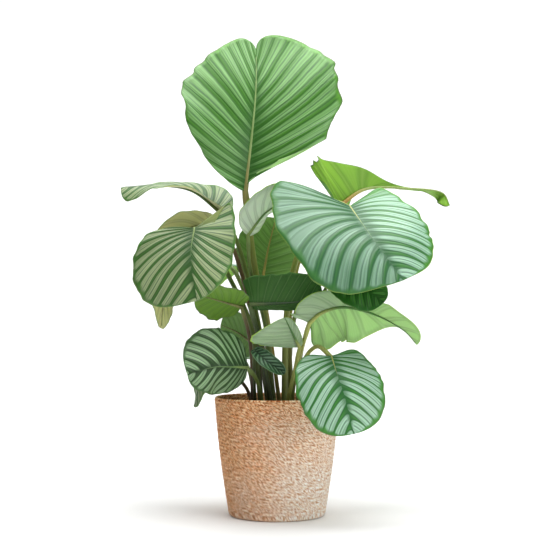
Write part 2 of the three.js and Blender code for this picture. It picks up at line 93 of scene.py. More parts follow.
class Socket:
    """One output of a node. Python's operators on it add Math nodes and give a new Socket."""

    def __init__(self, finish, link):
        self.finish = finish
        self.link = link

    def math(self, operation, *values):
        """A Math node whose inputs are the values in order."""
        return self.finish.node("Math", {"operation": operation}, dict(enumerate(values)))

    def __rsub__(self, other):
        return self.math("SUBTRACT", other, self)

    __add__ = __radd__ = math_node("ADD")
    __sub__ = math_node("SUBTRACT")
    __mul__ = __rmul__ = math_node("MULTIPLY")
    __pow__ = math_node("POWER")
    __gt__ = math_node("GREATER_THAN")
    __abs__ = math_node("ABSOLUTE")
    floor = math_node("FLOOR")
    cosine = math_node("COSINE")

    def wave(self, turns):
        """0 to 1 and back, once in each turn: (1 - cos(2 pi turns x)) / 2."""
        return 0.5 - (self * (2 * math.pi * turns)).cosine() * 0.5

    def smooth(self, start, end):
        """0 before start and 1 after end, with a smooth step between. start may be the larger."""
        places = {"Value": self, "From Min": start, "From Max": end}
        return self.finish.node("MapRange", {"interpolation_type": "SMOOTHSTEP"}, places)


class Finish:
    """A material being made."""

    def __init__(self, name):
        self.material = bpy.data.materials.new(name)
        self.material.use_nodes = True
        self.tree = self.material.node_tree
        self.surface = self.tree.nodes["Principled BSDF"]

    def node(self, kind, settings=None, inputs=None, output=0):
        """Adds a node of a kind, makes its settings, fills or links its inputs, gives one output."""
        node = self.tree.nodes.new("ShaderNode" + kind)
        for setting, value in (settings or {}).items():
            setattr(node, setting, value)
        for place, value in (inputs or {}).items():
            self.feed(node.inputs[place], value)
        return Socket(self, node.outputs[output])

    def feed(self, place, value):
        """Links a Socket to an input, or writes a plain value into it."""
        if isinstance(value, Socket):
            self.tree.links.new(value.link, place)
        else:
            place.default_value = value

    def attribute(self, name):
        """A number that the piece's own mesh carries at every point."""
        return self.node("Attribute", {"attribute_name": name}, output="Fac")

    def place(self):
        """The point on the piece, in metres."""
        return self.node("TexCoord", output="Object")

    def part(self, vector, axis):
        """The X, Y or Z of a vector."""
        return self.node("SeparateXYZ", inputs={"Vector": vector}, output=axis)

    def noise(self, scale, detail=2.0, vector=None):
        """Cloudy noise from 0 to 1. scale is in clouds per metre of the piece, or per 1 of vector."""
        places = {"Vector": vector or self.place(), "Scale": scale, "Detail": detail}
        return self.node("TexNoise", inputs=places)

    def chance(self, *numbers):
        """One random number from 0 to 1 for each set of whole numbers."""
        vector = self.node("CombineXYZ", inputs=dict(enumerate(numbers)))
        return self.node("TexWhiteNoise", {"noise_dimensions": "3D"}, {"Vector": vector})

    def mix(self, share, first, second):
        """The first colour where share is 0, the second where it is 1."""
        places = {"Factor": share, 6: first, 7: second}
        return self.node("Mix", {"data_type": "RGBA"}, places, output=2)

    def bump(self, height, depth):
        """Lets a height from 0 to 1 tilt the light as if it were that many millimetres deep."""
        places = {"Height": height, "Strength": 1.0, "Distance": depth * MM}
        self.feed(self.surface.inputs["Normal"], self.node("Bump", inputs=places))

    def set(self, **inputs):
        """Feeds sockets of the surface: base_color=... stands for the socket Base Color."""
        for name, value in inputs.items():
            self.feed(self.surface.inputs[name.replace("_", " ").title()], value)


def colour(red, green, blue):
    """A screen colour of 0 to 255 as the linear light that shaders work in, by the sRGB curve."""
    share = np.array([red, green, blue]) / 255
    light = np.where(share <= 0.04045, share / 12.92, ((share + 0.055) / 1.055) ** 2.4)
    return (*light.tolist(), 1.0)


print("shader tools are ready")

# %% [markdown]
# ## The studio
#
# The picture has a plain white ground that runs on into a white wall with no line between them.
# Photographers hang one long sheet for this, so here it is: flat under the basket, then turned up
# in a quarter circle. Two soft boxes light the plant, so its shadow is soft and gathers near the
# basket, and a third lights the wall.

# %% Backdrop
SHEET_WIDTH, SHEET_LENGTH = 8, 7.7  # metres, as in the next two lines
SHEET_FRONT = -2.2
SHEET_FLAT, SHEET_TURN = 4.1, 0.8
SHEET_COLUMNS, SHEET_ROWS = 9, 78


def backdrop_sheet(across, along):
    """along is the way from the sheet's front edge: flat at first, then a quarter circle of the
    radius SHEET_TURN, then straight up."""
    turn = np.clip((along - SHEET_FLAT) / SHEET_TURN, 0, math.pi / 2)
    y = SHEET_FRONT + np.minimum(along, SHEET_FLAT) + SHEET_TURN * np.sin(turn)
    wall = np.maximum(along - SHEET_FLAT - SHEET_TURN * math.pi / 2, 0)
    return np.stack([across, y, SHEET_TURN * (1 - np.cos(turn)) + wall], -1)


def grid_faces(rows, columns, closed=False):
    """The quads of a grid whose points are numbered row by row. closed joins last column to first."""
    row = np.arange(rows - 1)[:, None]
    column = np.arange(columns if closed else columns - 1)[None, :]
    beside = (column + 1) % columns
    near, far = row * columns, (row + 1) * columns
    return np.stack([near + column, near + beside, far + beside, far + column], -1).reshape(-1, 4)


def fan(middle, first, second):
    """Triangles from one middle point to pairs of points."""
    return np.stack([middle + 0 * first, first, second], -1)


def tube_faces(rings, sides):
    """The faces of a closed tube. Its points are numbered ring by ring, then one point for the start
    and one for the end."""
    step = np.arange(sides)
    beside = (step + 1) % sides
    start, last = rings * sides, (rings - 1) * sides
    caps = np.vstack([fan(start, beside, step), fan(start + 1, last + step, last + beside)])
    return [grid_faces(rings, sides, closed=True), caps]


def make_mesh(name, points, faces, materials):
    """A smooth mesh object from points in metres and a list of arrays of triangles or quads."""
    mesh = bpy.data.meshes.new(name)
    mesh.from_pydata(points.reshape(-1, 3), [], [face for group in faces for face in group.tolist()])
    mesh.polygons.foreach_set("use_smooth", np.ones(len(mesh.polygons), bool))
    for material in materials:
        mesh.materials.append(material)
    piece = bpy.data.objects.new(name, mesh)
    bpy.context.scene.collection.objects.link(piece)
    return piece


def two_materials(piece, first_faces):
    """The first faces keep the piece's first material, the others get its second."""
    slots = np.arange(len(piece.data.polygons)) >= first_faces
    piece.data.polygons.foreach_set("material_index", slots.astype(np.int32))


paper = Finish("white_paper")
paper.set(base_color=colour(250, 250, 250), roughness=0.9)
across = np.linspace(SHEET_WIDTH / 2, -SHEET_WIDTH / 2, SHEET_COLUMNS)
sheet = backdrop_sheet(*np.meshgrid(across, np.linspace(0, SHEET_LENGTH, SHEET_ROWS)))
backdrop = make_mesh("backdrop", sheet, [grid_faces(SHEET_ROWS, SHEET_COLUMNS)], [paper.material])
print("backdrop points:", len(backdrop.data.vertices))

# %% Lights
def soft_box(name, place, target, size, watts):
    """A square lamp that faces the target."""
    lamp = bpy.data.lights.new(name, "AREA")
    lamp.size = size
    lamp.energy = watts
    box = bpy.data.objects.new(name, lamp)
    box.location = place
    way = np.array(target) - np.array(place)
    tilt = math.acos(-way[2] / np.linalg.norm(way))
    box.rotation_euler = (tilt, 0, math.atan2(way[1], way[0]) - math.pi / 2)
    bpy.context.scene.collection.objects.link(box)
    return box


MIDDLE = (0, 0, 0.4)  # of the plant, in metres
WALL_SPOT = (0, 3.3, 1.2)
lamps = [
    soft_box("key_light", (1.7, -1.6, 0.6), MIDDLE, size=1.0, watts=18),
    soft_box("top_light", (0, 0, 1.6), MIDDLE, size=1.5, watts=40),
    soft_box("wall_light", (0, 1.1, 1.8), WALL_SPOT, size=2.4, watts=42),
]

world = bpy.data.worlds.new("white_room")
world.use_nodes = True
glow = world.node_tree.nodes["Background"].inputs
glow["Color"].default_value = (0.92, 0.97, 1, 1)  # white with a little blue
glow["Strength"].default_value = 0.17
bpy.context.scene.world = world
bpy.context.scene.view_settings.view_transform = "Standard"
print("lamps:", len(lamps))

# %% [markdown]
# ## The leaves, one by one
#
# Every leaf grew as one piece: a stalk out of the soil, which runs on as the midrib under the
# blade, and a thin blade in two halves. Its place and form are told by the same numbers that its
# solid is made from, so the fine leaf lies where the plain one does. From crowd on, the numbers
# are this lesson's own.
#
# - look, under, stalk_look: colours that the finishes further down explain. Two names in under
#   are for the left and the right half. bands: pale bands on each half.
# - root: where the stalk enters the soil. stalk: points it passes. thick: its radius.
# - rib: points along the midrib. face: the way the upper side looks. wave: height of the ripples.
# - left, right, both: the two halves, and what they share. width goes from midrib to margin, fold
#   raises the half by degrees and curl turns it on, lobe and shoulder push the outline back at the
#   base and on at the tip, skew moves the widest place, round shapes the outline.
# - crowd: how strongly the side veins crowd towards the base. bend: where they bend, as shares of
#   the way out and of the way on. ragged: how unevenly the margin runs, as a share of the width.
# - notch: how far the tip is drawn back between its two lobes. sunk: how deep the midrib lies, as
#   a share of its radius. plain: up to where the left half is plain green. dull: painted shade, how
#   much darker the right half is painted, as if it lay in shade.
#
# Lists run from base to tip. HALF and USUAL hold what a leaf leaves out.

# %% The leaf table, in millimetres and degrees
LEAVES = {}
HALF = dict(fold=0, curl=-20, lobe=0.08, shoulder=0, skew=1, round=[0.75, 0.85])
USUAL = dict(wave=3, crowd=2.0, bend=(0.5, 0.4), ragged=0.014, notch=0, sunk=0.78, plain=0.01, dull=0)


def leaf_row(name, look, under, stalk_look, both=(), left=(), right=(), **rest):
    """Adds one leaf to LEAVES."""
    looks = dict(look=look, under=under, stalk_look=stalk_look)
    left, right = ({**HALF, **dict(both), **dict(half)} for half in (left, right))
    LEAVES[name] = dict(USUAL, **looks, **rest, left=left, right=right)


leaf_row(
    "top", "fresh", "leafy", "ochre", bands=14,
    root=[-10, 6], stalk=[[-16, 4, 294], [-37, -2, 403]], thick=5,
    rib=[[-51, -10, 516], [-41, -16, 598], [-34, -6, 679], [-34, 20, 758]],
    face=[[0, -1, 0.1], [0, -1, 0.4]], wave=5, ragged=0.026, sunk=0.45, notch=8,
    both=dict(lobe=0),
    left=dict(width=119, fold=[35, 10], curl=-10, shoulder=0.14, skew=0.88, round=[1.2, 1.3, 2.4, 1.3]),
    right=dict(width=136, fold=[25, 5], curl=[-20, -15], shoulder=0.18, skew=0.74, round=[6, 1, 1.4, 1.8]),
)
leaf_row(
    "upper_left", "silver", "khaki", "olive", bands=13,
    root=[-12, 22], stalk=[[-28, 24, 294], [-60, 24, 423]], thick=3.6,
    rib=[[-86, 14, 483], [-138, 18, 521], [-198, 22, 529], [-254, 25, 525]],
    face=[[0, -0.1, 1], [0, -0.15, 1]],
    left=dict(width=60, fold=[20, 5, 0, -50], curl=0),
    right=dict(width=65, fold=[35, 12, 0, 0], curl=0),
)
leaf_row(
    "upper_right", "fresh", "bright", "orange", bands=12,
    root=[24, 14], stalk=[[20, 20, 310], [42, 40, 424]], thick=4,
    rib=[[99, 60, 498], [149, 80, 530], [223, 90, 531], [276, 94, 525], [290, 88, 502]],
    face=[[0, 0.6, 0.8], [0, 0.9, 0.5]], wave=4, crowd=4, ragged=0.02,
    left=dict(width=34, fold=[0, 40, 55, 55, 0], curl=0, lobe=0.05),
    right=dict(width=92, fold=[25, 45, 45], curl=10, lobe=0.12, skew=5.5, round=[0.3, 0.6, 10]),
)
leaf_row(
    "left", "silver", "olive", "olive", bands=11,
    root=[-24, -8], stalk=[[-40, 2, 294], [-78, -4, 382], [-109, -38, 443]], thick=3.6,
    rib=[[-128, -70, 453], [-132, -86, 420], [-130, -98, 384], [-121, -105, 340]],
    face=[[0.1, -1, 0.6], [0, -1, 0.2]], crowd=4, bend=(0.5, 0.46),
    left=dict(width=67, lobe=[0.8, 0.8, 0.4], skew=1.2, round=[0.3, 0.9, 1.5]),
    right=dict(width=92, lobe=0, shoulder=0.05, skew=0.95, round=[0.7, 0.6]),
)
leaf_row(
    "behind_left", "silver", "khaki", "brown", bands=11,
    root=[-24, 8], stalk=[[-36, 14, 294], [-66, 12, 414]], thick=3.4,
    rib=[[-95, 2, 468], [-150, 20, 452], [-180, 24, 375], [-187, 8, 297]],
    face=[[-0.5, 0.6, 0.7], [-0.8, 0.3, 0.2]], ragged=0.05,
    both=dict(width=60, curl=0, lobe=0.05, round=[0.7, 0.8, 1.8, 0.7]),
)
leaf_row(
    "right", "cool", "leafy", "yellow", bands=13,
    root=[12, 2], stalk=[[16, 2, 326], [37, 0, 423], [84, -20, 493]], thick=4.5,
    rib=[[115, -40, 490], [150, -110, 428], [188, -142, 370]],
    face=[[0.6, -0.6, 0.9], [0.3, -1, 0.5]],
    # dull paints shade on the right half, as if it lay in shade
    crowd=3, bend=(0.58, 0.32), plain=0.3, dull=0.5,
    left=dict(width=99, fold=[45, 35, 10], curl=-40, lobe=0.3, round=[0.5, 0.65]),
    right=dict(width=140, curl=-30, lobe=[0.4, 1, 0.3], round=[0.65, 1.1]),
)
leaf_row(
    "small_folded", "cool", "pale", "olive", bands=9,
    root=[-2, -8], stalk=[[-18, -8, 294], [-42, -20, 389]], thick=2.8,
    rib=[[-47, -30, 445], [-14, -30, 484], [37, -25, 509]],
    face=[0, 0.5, 0.8], wave=2,
    both=dict(width=36, fold=30, curl=0, lobe=0.02),
)
leaf_row(
    "middle_back", "deep", "dark", "mustard", bands=10,
    root=[6, 24], stalk=[[-12, 50, 293]], thick=3,
    rib=[[-25, 60, 368], [-15, 70, 426], [-2, 80, 480]],
    face=[[0.1, 1, 0.2], [0, 1, 0.5]], wave=2,
    both=dict(width=55, fold=10, curl=10, lobe=0.02),
)
leaf_row(
    "across", "deep", "teal", "dark", bands=11,
    root=[-6, -22], stalk=[[-26, -28, 271]], thick=3.4,
    rib=[[-43, -34, 336], [20, -52, 338], [72, -60, 345]],
    face=[0, 0.85, 0.45], wave=2,
    left=dict(width=13, lobe=0.1),
    right=dict(width=46, fold=20, curl=10, lobe=0.2, round=[0.2, 0.5]),
)
leaf_row(
    "under_right", "deep", "dark", "olive", bands=9,
    root=[32, -10], stalk=[[40, 0, 263], [72, -20, 350]], thick=2.8,
    rib=[[97, -92, 388], [126, -130, 363], [159, -142, 337]],
    face=[[0, -0.6, 0.8], [0, -1, 0.5]], wave=2,
    left=dict(width=36), right=dict(width=40),
)
leaf_row(
    "low_right", "cool", "leafy grey", "yellow", bands=11,
    root=[20, -18], stalk=[[30, -30, 231]], thick=3.4,
    rib=[
        [50, -62, 306], [70, -74, 323], [104, -88, 331],
        [151, -97, 319], [192, -102, 296], [213, -100, 273],
    ],
    face=[[0, 0.9, 0.4], [0, 0.6, 0.8]],
    left=dict(width=59, lobe=0.2, skew=1.6, round=[0.6, 1, 0.5, 0.9, 8, 16]),
    right=dict(width=43, fold=[-20, -10], curl=10, lobe=0.05, skew=2.6, round=[0.5, 0.5, 6, 0.6, 0.8]),
)
leaf_row(
    "pale", "cool", "grey", "yellow", bands=10,
    root=[10, -34], stalk=[[26, -48, 224]], thick=3,
    rib=[[35, -56, 268], [23, -63, 292], [12, -69, 314]],
    face=[-0.2, 0.8, 0.4],
    left=dict(width=12, curl=10, lobe=0.02),
    right=dict(width=64, lobe=0, shoulder=0.08, skew=0.2, round=[0.35, 0.4, 1.5]),
)
leaf_row(
    "young", "young", "teal", "dark", bands=9,
    root=[-34, -20], stalk=[[-36, -42, 224]], thick=2.4,
    rib=[[-36, -66, 265], [-16, -86, 248], [12, -90, 229]],
    face=[0.3, -1, 0.3], wave=1,
    both=dict(width=14, fold=20, curl=0, lobe=0.02),
)
leaf_row(
    "front_right", "mint", "pale", "yellow", bands=10,
    root=[32, -28], stalk=[[40, -44, 239], [60, -90, 270]], thick=3.2,
    rib=[[82, -120, 257], [90, -147, 228], [100, -162, 197], [112, -165, 144]],
    face=[[0.1, -1, 0.6], [0.1, -1, 0.1]], wave=2, crowd=3, bend=(0.58, 0.3), plain=0.25,
    both=dict(width=66, lobe=0.2, round=[0.6, 0.75]),
)
leaf_row(
    "front_left", "shaded", "teal", "olive", bands=10,
    root=[-20, -32], stalk=[[-30, -46, 212]], thick=3,
    rib=[[-45, -66, 238], [-69, -90, 240], [-97, -108, 240], [-135, -120, 229]],
    face=[[0, -1, 0.35], [-0.1, -1, 0.35]], wave=2, crowd=2.6, bend=(0.6, 0.3),
    left=dict(width=50, fold=-45, curl=-10, lobe=0.1),
    right=dict(width=66, curl=-10, lobe=0.15, round=[0.5, 0.85]),
)
leaf_row(
    "left_back", "deep", "dark", "brown", bands=9,
    root=[-26, 24], stalk=[[-28, 30, 229]], thick=2.8,
    rib=[[-36, 34, 269], [-63, 50, 289], [-93, 60, 302]],
    face=[0.3, 0.8, 0.5], wave=2,
    both=dict(width=40, curl=0),
)
leaf_row(
    "olive", "fresh", "moss", "brown", bands=9,
    root=[-38, -4], stalk=[[-42, -22, 270]], thick=2.8,
    rib=[[-56, -24, 332], [-90, -42, 341], [-126, -52, 351]],
    face=[[0, 0.6, 0.8], [0, 0.7, 0.8]], wave=2,
    left=dict(width=46), right=dict(width=42),
)
leaf_row(
    "tip_left", "silver", "grey", "brown", bands=8,
    root=[-38, 12], stalk=[[-48, 14, 198]], thick=2.8,
    rib=[[-73, 20, 226], [-115, 0, 227], [-131, -5, 171]],
    face=[[-0.3, -0.6, 0.8], [-0.8, -0.3, 0.3]], wave=2,
    both=dict(width=24),
)
leaf_row(
    "back_high", "fresh", "bright", "olive", bands=10,
    root=[18, 34], stalk=[[26, 50, 300], [60, 75, 400]], thick=3.6,
    rib=[[80, 90, 430], [115, 150, 430], [150, 210, 390]],
    face=[[0, 0.3, 1], [0, 0.6, 1]],
    both=dict(width=60),
)
leaf_row(
    "back_left", "cool", "bright", "olive", bands=10,
    root=[-12, 38], stalk=[[-36, 54, 300], [-64, 70, 380]], thick=3.4,
    rib=[[-76, 80, 400], [-110, 135, 405], [-150, 190, 365]],
    face=[[-0.2, 0.3, 1], [-0.4, 0.6, 1]],
    both=dict(width=58),
)
leaf_row(
    "back_low_left", "fresh", "olive", "olive", bands=9,
    root=[-34, 40], stalk=[[-44, 52, 220]], thick=3,
    rib=[[-55, 78, 245], [-85, 122, 255], [-115, 165, 230]],
    face=[[-0.3, 0.4, 1], [-0.4, 0.8, 0.8]],
    both=dict(width=48),
)
leaf_row(
    "back_low_right", "mint", "olive", "yellow", bands=9,
    root=[36, 28], stalk=[[46, 42, 215]], thick=3,
    rib=[[60, 65, 235], [95, 110, 245], [125, 155, 215]],
    face=[[0.3, 0.4, 1], [0.4, 0.8, 0.8]],
    both=dict(width=50),
)
print("leaves:", len(LEAVES))

# %% [markdown]
# ## The midrib's curve
#
# A smooth curve through a few points can be a Bezier, a spline object or a Catmull-Rom curve.
# Catmull-Rom passes through every point and needs no handles, so the table stays short. Walking
# along it in equal steps needs its length, which is added up from two hundred short pieces.

# %% A curve that is walked in millimetres
WAY_PIECES = 200


class Way:
    """A smooth curve through points. place and heading take distances along it in millimetres."""

    def __init__(self, points):
        points = np.array(points, float)
        ends = [2 * points[0] - points[1], 2 * points[-1] - points[-2]]
        self.points = np.vstack([ends[0], points, ends[1]])
        self.stops = np.linspace(0, 1, WAY_PIECES + 1)
        steps = np.diff(self.on_curve(self.stops), axis=0)
        self.walked = np.append(0, np.cumsum(np.linalg.norm(steps, axis=-1)))
        self.length = self.walked[-1]

    def on_curve(self, share):
        """Catmull-Rom: between points q and r, with p before and s after and t from 0 to 1, it is
        (2q + (r-p)t + (2p-5q+4r-s)t^2 + (3q-p-3r+s)t^3) / 2."""
        place = np.clip(share, 0, 1) * (len(self.points) - 3)
        index = np.minimum(place.astype(int), len(self.points) - 4)
        t = (place - index)[..., None]
        p, q, r, s = (self.points[index + step] for step in range(4))
        square, cube = 2 * p - 5 * q + 4 * r - s, 3 * q - p - 3 * r + s
        return (2 * q + (r - p) * t + square * t**2 + cube * t**3) / 2

    def heading(self, distance):
        """The direction of the curve."""
        share = np.interp(distance, self.walked, self.stops)
        ahead, behind = np.minimum(share + 1e-3, 1), np.maximum(share - 1e-3, 0)
        return unit(self.on_curve(ahead) - self.on_curve(behind))

    def place(self, distance):
        """The point at a distance; past an end it runs straight on."""
        inside = np.clip(distance, 0, self.length)
        point = self.on_curve(np.interp(inside, self.walked, self.stops))
        return point + self.heading(inside) * (distance - inside)[..., None]


def unit(vectors):
    """Vectors brought to length 1."""
    return vectors / np.maximum(np.linalg.norm(vectors, axis=-1, keepdims=True), 1e-9)


def between(stops, share):
    """The value at a share of the way along evenly spaced stops, joined by straight lines."""
    stops = np.atleast_1d(np.array(stops, float))
    return np.interp(share, np.linspace(0, 1, len(stops)), stops)


def rib_frame(leaf, way, distance):
    """The midrib's place, and the ways across it and out of the blade's upper side."""
    share = np.clip(distance / way.length, 0, 1)[..., None]
    base, tip = np.broadcast_to(leaf["face"], (2, 3))
    along = way.heading(np.clip(distance, 0, way.length))
    out = base + (tip - base) * share
    out = unit(out - np.sum(out * along, -1, keepdims=True) * along)
    return way.place(distance), np.cross(along, out), out


print("longest midrib:", round(max(Way(leaf["rib"]).length for leaf in LEAVES.values())), "mm")

# %% [markdown]
# ## The blade's surface
#
# A blade could be a flat plate that is bent by modifiers. It is simpler to follow how it grew:
# side veins leave the midrib and bend towards the tip, and the outline is where they end. So one
# number, a, says which side vein a point lies on, from 0 at the base to 1 at the tip, and the
# other, v, how far along that vein it lies. Between two veins the blade is puffed up a little, its
# margin ripples and runs unevenly, and a tip may be drawn back into a notch.

# %% The blade's formula
PLEAT = 0.007  # height of a pleat, as a share of the half's width
BAND_CROWD = 1.35  # above 1, the bands crowd towards the tip
NOTCH_START, NOTCH_POWER = 0.86, 1.4  # the a where a notch begins, and how it deepens from there
RIPPLES, RIPPLE_SHIFT = 3, 0.37  # ripples from base to tip, and their shift on the right half


def blade_surface(leaf, way, seed, a, v):
    """Points of a blade. a: 0 at the base to 1 at the tip. v: -1 at the left margin, 0 on the
    midrib, 1 at the right margin. With L the midrib's length and b = sin(pi a), the outline is
    x = width * b^round, y = L * (((1 - cos(pi a)) / 2)^skew + 2.2 b (shoulder a^3 - lobe (1-a)^3)),
    with x a little uneven. The side vein of a is a Bezier curve from (0, L * a^crowd) over a bend
    to that point. Near the tip the notch is taken off y. Then x is wrapped round the fold and curl,
    and pleats and ripples lift the result."""
    a, v = np.broadcast_arrays(a, v)
    side, reach = np.where(v < 0, -1.0, 1.0), np.abs(v)

    def pick(key, share=a):
        return np.where(v < 0, between(leaf["left"][key], share), between(leaf["right"][key], share))

    bulge = np.sin(np.pi * a)
    band = leaf["bands"] * a**BAND_CROWD
    scallops = np.abs(np.sin(np.pi * band))  # one for each band
    uneven = np.sin(41 * a + seed + side) + 0.6 * np.sin(83 * a + 2 * seed) + scallops - 0.6
    nibble = 1 + leaf["ragged"] * uneven * bulge
    margin_x = pick("width") * nibble * np.maximum(bulge, 1e-9) ** pick("round")
    push = 2.2 * bulge * (pick("shoulder") * a**3 - pick("lobe") * (1 - a) ** 3)
    margin_y = way.length * (((1 - np.cos(np.pi * a)) / 2) ** pick("skew") + push)
    start_y = way.length * a ** leaf["crowd"]
    notch = leaf["notch"] * np.clip((a - NOTCH_START) / (1 - NOTCH_START), 0, 1) ** NOTCH_POWER
    start_y, margin_y = start_y - notch, margin_y - notch
    bend_out, bend_on = leaf["bend"]
    bend_x, bend_y = bend_out * margin_x, start_y + bend_on * (margin_y - start_y)
    x = 2 * (1 - reach) * reach * bend_x + reach**2 * margin_x
    y = (1 - reach) ** 2 * start_y + 2 * (1 - reach) * reach * bend_y + reach**2 * margin_y
    share = np.clip(y / way.length, 0, 1)
    fold = np.radians(pick("fold", share))
    bend = np.radians(pick("curl", share)) / pick("width")
    bend = np.where(np.abs(bend) < 1e-6, 1e-6, bend)
    sideways = (np.sin(fold + bend * x) - np.sin(fold)) / bend
    raised = (np.cos(fold) - np.cos(fold + bend * x)) / bend
    turns = RIPPLES * a + np.where(v < 0, 0, RIPPLE_SHIFT)
    raised = raised + leaf["wave"] * reach**2 * bulge * np.sin(2 * np.pi * turns)
    raised = raised + 0.3 * leaf["wave"] * reach**5 * bulge * np.sin(47 * a + 3 * seed + side)
    puff = np.cos(2 * np.pi * band) * (reach * (1 - reach)) ** 0.7
    raised = raised - 2 * PLEAT * pick("width") * puff
    place, across, out = rib_frame(leaf, way, y)
    return place + across * (side * sideways)[..., None] + out * raised[..., None]


# %% [markdown]
# ## From a surface to a thin closed leaf
#
# The surface has no thickness yet. Solidify could give it one, but the seam at the margin and the
# two points where all rows meet are easier to close by hand: two copies of the sheet are pushed
# apart along its normals, thinner towards the margin, and a rim joins them.

# %% Blade points and faces
BLADE_MIDDLE = 0.8  # thickness at the midrib
BLADE_EDGE = 0.6
ROWS = 108  # from base to tip
COLUMNS = 18  # on each half


def blade_parts(leaf, way, seed):
    """Points, faces and the numbers that the pattern is painted from, for one closed blade."""
    a = np.linspace(0, 1, ROWS + 1)[1:-1, None]
    v = np.linspace(-1, 1, 2 * COLUMNS + 1)[None, :]
    sheet = blade_surface(leaf, way, seed, a, v)
    down, across = np.gradient(sheet, axis=(0, 1))
    normal = unit(np.cross(across, down)).reshape(-1, 3)
    ends = blade_surface(leaf, way, seed, np.array([0.0, 1.0]), np.zeros(2))
    normal = np.vstack([normal[COLUMNS], normal, normal[-COLUMNS - 1]])
    middle = np.vstack([ends[:1], sheet.reshape(-1, 3), ends[1:]])
    vein = np.concatenate([[0], np.broadcast_to(a, sheet.shape[:2]).ravel(), [1]])
    reach = np.concatenate([[0], np.broadcast_to(v, sheet.shape[:2]).ravel(), [0]])
    half_thick = (BLADE_MIDDLE + (BLADE_EDGE - BLADE_MIDDLE) * np.abs(reach))[:, None] / 2
    points = np.vstack([middle + normal * half_thick, middle - normal * half_thick])

    wide, last = 2 * COLUMNS + 1, len(middle) - 1
    quads = grid_faces(ROWS - 1, wide) + 1
    first_row = np.arange(1, wide)
    last_row = last - wide + np.arange(wide - 1)
    fans = np.vstack([fan(0, first_row + 1, first_row), fan(last, last_row, last_row + 1)])
    left_rim = 1 + wide * np.arange(ROWS - 1)
    rim = np.concatenate([[0], left_rim, [last], left_rim[::-1] + wide - 1])
    after = np.roll(rim, -1)
    under = len(middle)
    walls = np.stack([rim, after, after + under, rim + under], -1)
    faces = [quads, quads[:, ::-1] + under, fans, fans[:, ::-1] + under, walls]
    numbers = {
        "vein": np.tile(vein, 2),
        "reach": np.tile(reach, 2),
        "upper": np.repeat([1.0, 0.0], under),
    }
    return points, faces, numbers


# %% [markdown]
# ## The stalk
#
# The stalk is round, thickest at its foot, and swells into a short joint just under the blade,
# with which the plant folds its leaves at night. From there it runs on under the blade as the
# midrib and gets thinner towards the tip. It is a circle carried along a path. Carrying the
# circle's own direction from ring to ring keeps it from twisting.

# %% Stalk points and faces
SOIL_TOP = 160
HOLE_DEPTH = 29.7
FOOT = 1.25  # radius in the soil, as a share of the radius higher up
RIB_END = 0.16  # radius at the midrib's end, as the same share
RIB_REACH, RIB_SPACING = 0.985, 1.3  # rings run nearly to the tip, closer together at the base
JOINT_UNDER, JOINT_LENGTH, JOINT_SWELL = 14, 9, 0.16  # place below the blade, length, and swelling
STALK_SIDES = 14
STALK_RINGS = 56
RIB_RINGS = 44


def carry(along, start):
    """Carries a direction along a path: at each ring, the part that points along is taken off."""
    carried = [start]
    for heading in along:
        last = carried[-1]
        carried.append(unit(last - np.dot(last, heading) * heading))
    return np.array(carried[1:])


def stalk_parts(leaf, way):
    """A closed tube from the bottom of its hole, through the table's points, to the leaf's tip.
    rise is 0 at the soil, 1 at the blade's base and 2 at the tip."""
    root = [*leaf["root"], SOIL_TOP]
    route = Way([root, *leaf["stalk"], leaf["rib"][0]])
    walked = np.linspace(0, 1, STALK_RINGS, endpoint=False)
    share = np.linspace(0, RIB_REACH, RIB_RINGS) ** RIB_SPACING
    place, _, out = rib_frame(leaf, way, share * (way.length - leaf["notch"]))
    lower = leaf["thick"] * (1 + (FOOT - 1) * (1 - np.minimum(walked * 2, 1)))  # even from half way on
    joint = np.exp(-(((1 - walked) * route.length - JOINT_UNDER) / JOINT_LENGTH) ** 2)
    lower = lower * (1 + JOINT_SWELL * joint)
    upper = leaf["thick"] * (1 + (RIB_END - 1) * share**0.7)
    sink = leaf["sunk"] * leaf["thick"] * np.clip(walked * 4 - 3, 0, 1) ** 2  # over the last quarter
    centre = np.vstack([
        np.array(root) - [0, 0, HOLE_DEPTH],
        route.place(walked * route.length) - out[0] * sink[:, None],
        place - out * (leaf["sunk"] * upper)[:, None],
    ])
    radius = np.concatenate([lower[:1], lower, upper])
    rise = np.concatenate([[0], walked, 1 + share])
    along = unit(np.gradient(centre, axis=0))
    first = carry(along, np.array([1.0, 0, 0]))
    second = np.cross(along, first)
    angle = np.linspace(0, 2 * np.pi, STALK_SIDES, endpoint=False)[None, :, None]
    ring = first[:, None] * np.cos(angle) + second[:, None] * np.sin(angle)
    points = (centre[:, None] + ring * radius[:, None, None]).reshape(-1, 3)
    points = np.vstack([points, centre[:1], centre[-1:] + along[-1:] * radius[-1]])
    rise = np.append(np.repeat(rise, STALK_SIDES), [0, 2])
    return points, tube_faces(len(centre), STALK_SIDES), rise


print("rings on a stalk:", STALK_RINGS + RIB_RINGS + 1)

# %% [markdown]
# ## How a blade is coloured
#
# Each half carries pale silvery bands between green ones, and the bands follow the side veins.
# The mesh already tells for every point which vein it lies on (vein) and how far out (reach), so
# the pattern is a sum on those two numbers. It stays sharp at any distance, as a painted picture
# would not. The underside shows the same bands only faintly.

